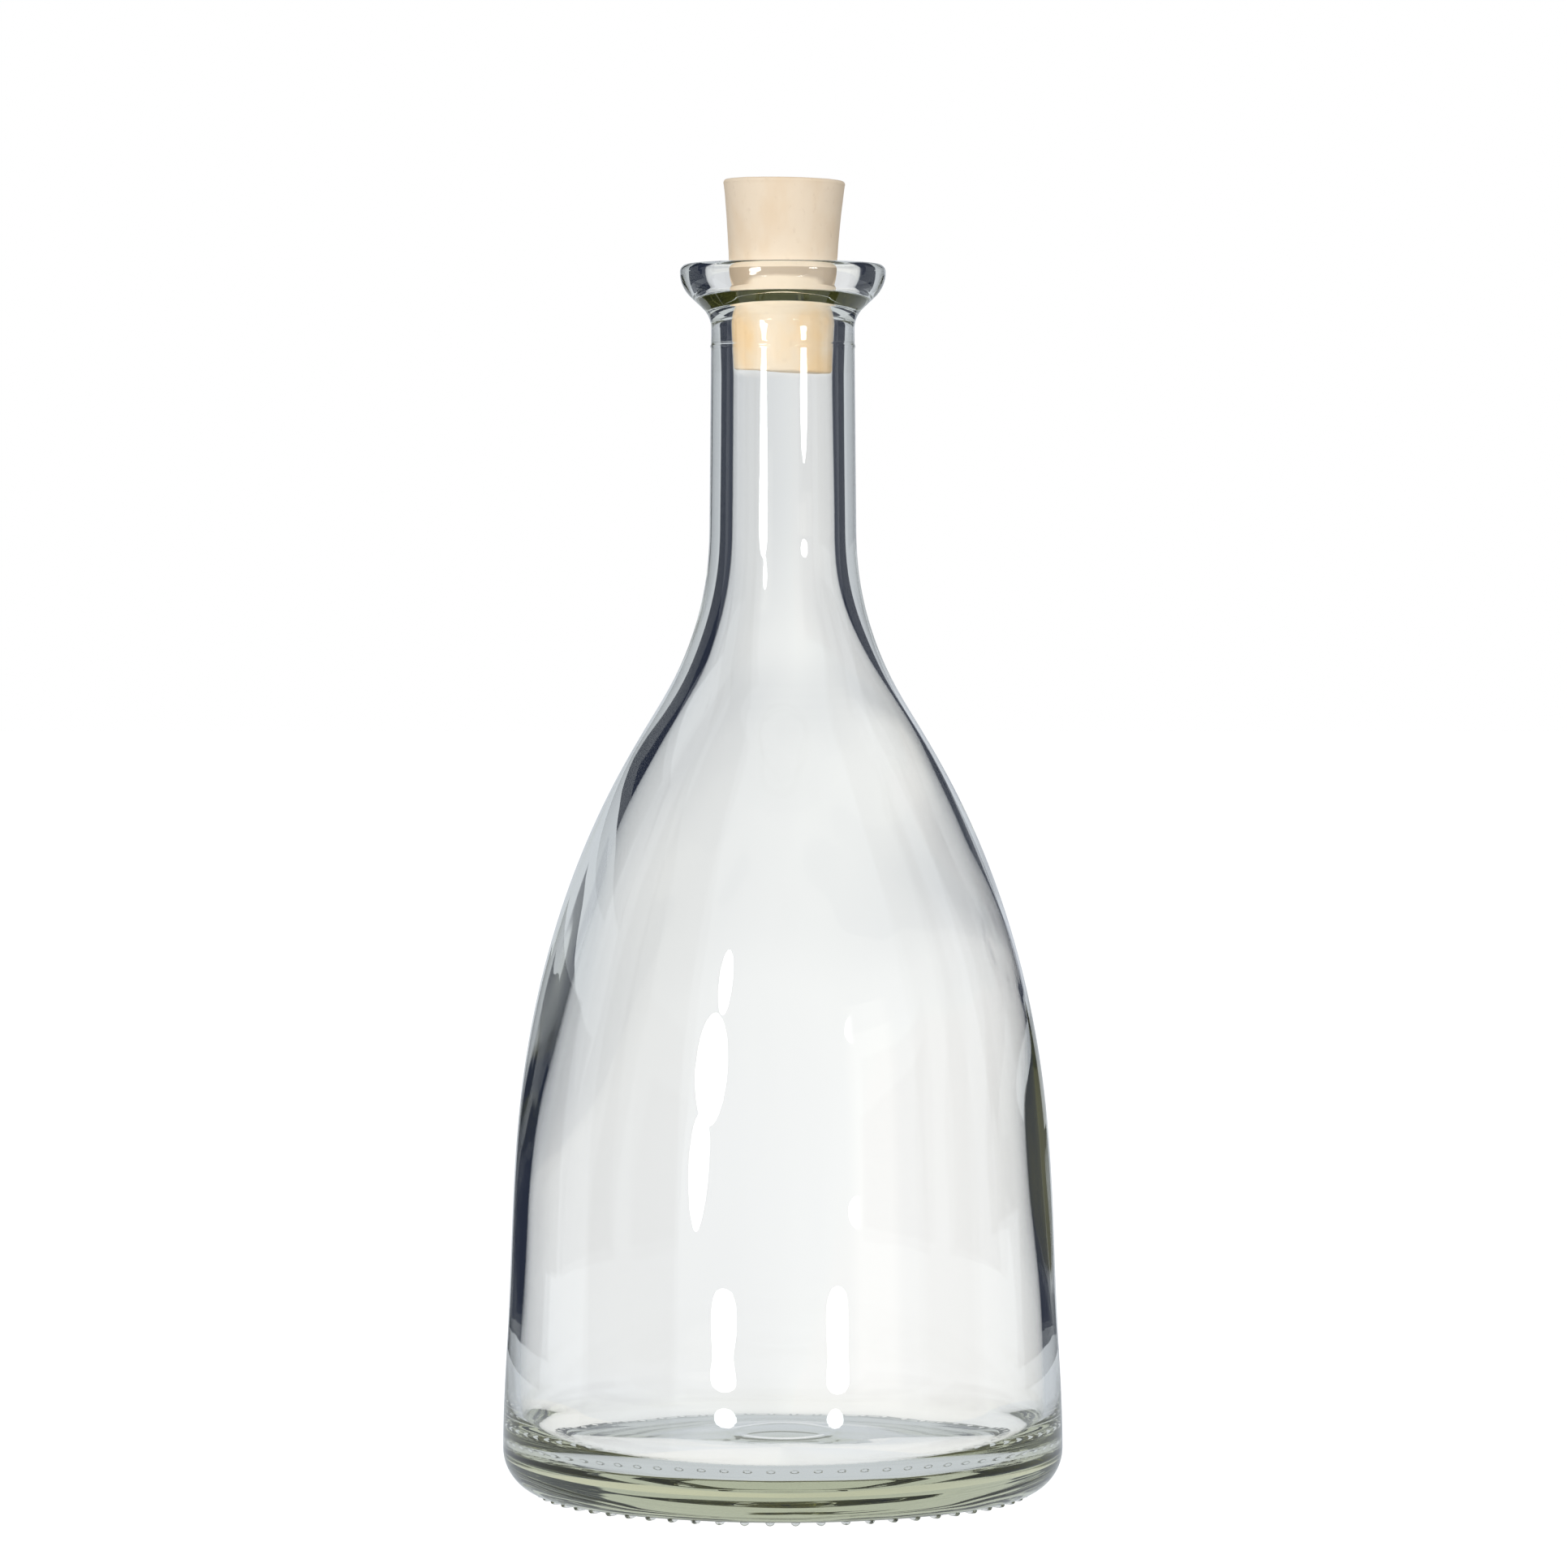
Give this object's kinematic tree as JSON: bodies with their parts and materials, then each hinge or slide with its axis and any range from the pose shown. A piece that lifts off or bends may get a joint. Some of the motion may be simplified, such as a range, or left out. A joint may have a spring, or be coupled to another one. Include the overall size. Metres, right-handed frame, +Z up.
{
  "type": "corked glass bottle",
  "caption": "Bell-shaped clear glass bottle with a long neck, rounded lip, knurled base ring and a tapered cork that pulls out.",
  "frame": {"origin": "centre of the base, on the surface that the knurls stand on", "axes": "+Z up along the bottle's axis, out of the mouth; X and Y are alike"},
  "size_m": [0.1002, 0.1002, 0.2346],
  "materials": {
    "clear_glass": "polished, very faint yellow-green tint in thick sections",
    "natural_cork": "dry, matt, fine-grained pale cork"
  },
  "bodies": {
    "bottle": {"glass_bottle": "clear_glass"},
    "stopper": {"cork_stopper": "natural_cork"}
  },
  "joints": [
    {"name": "stopper_pull", "type": "slide", "parent": "bottle", "child": "stopper", "axis": [0, 0, 1], "range_m": [0, 0.045]}
  ]
}
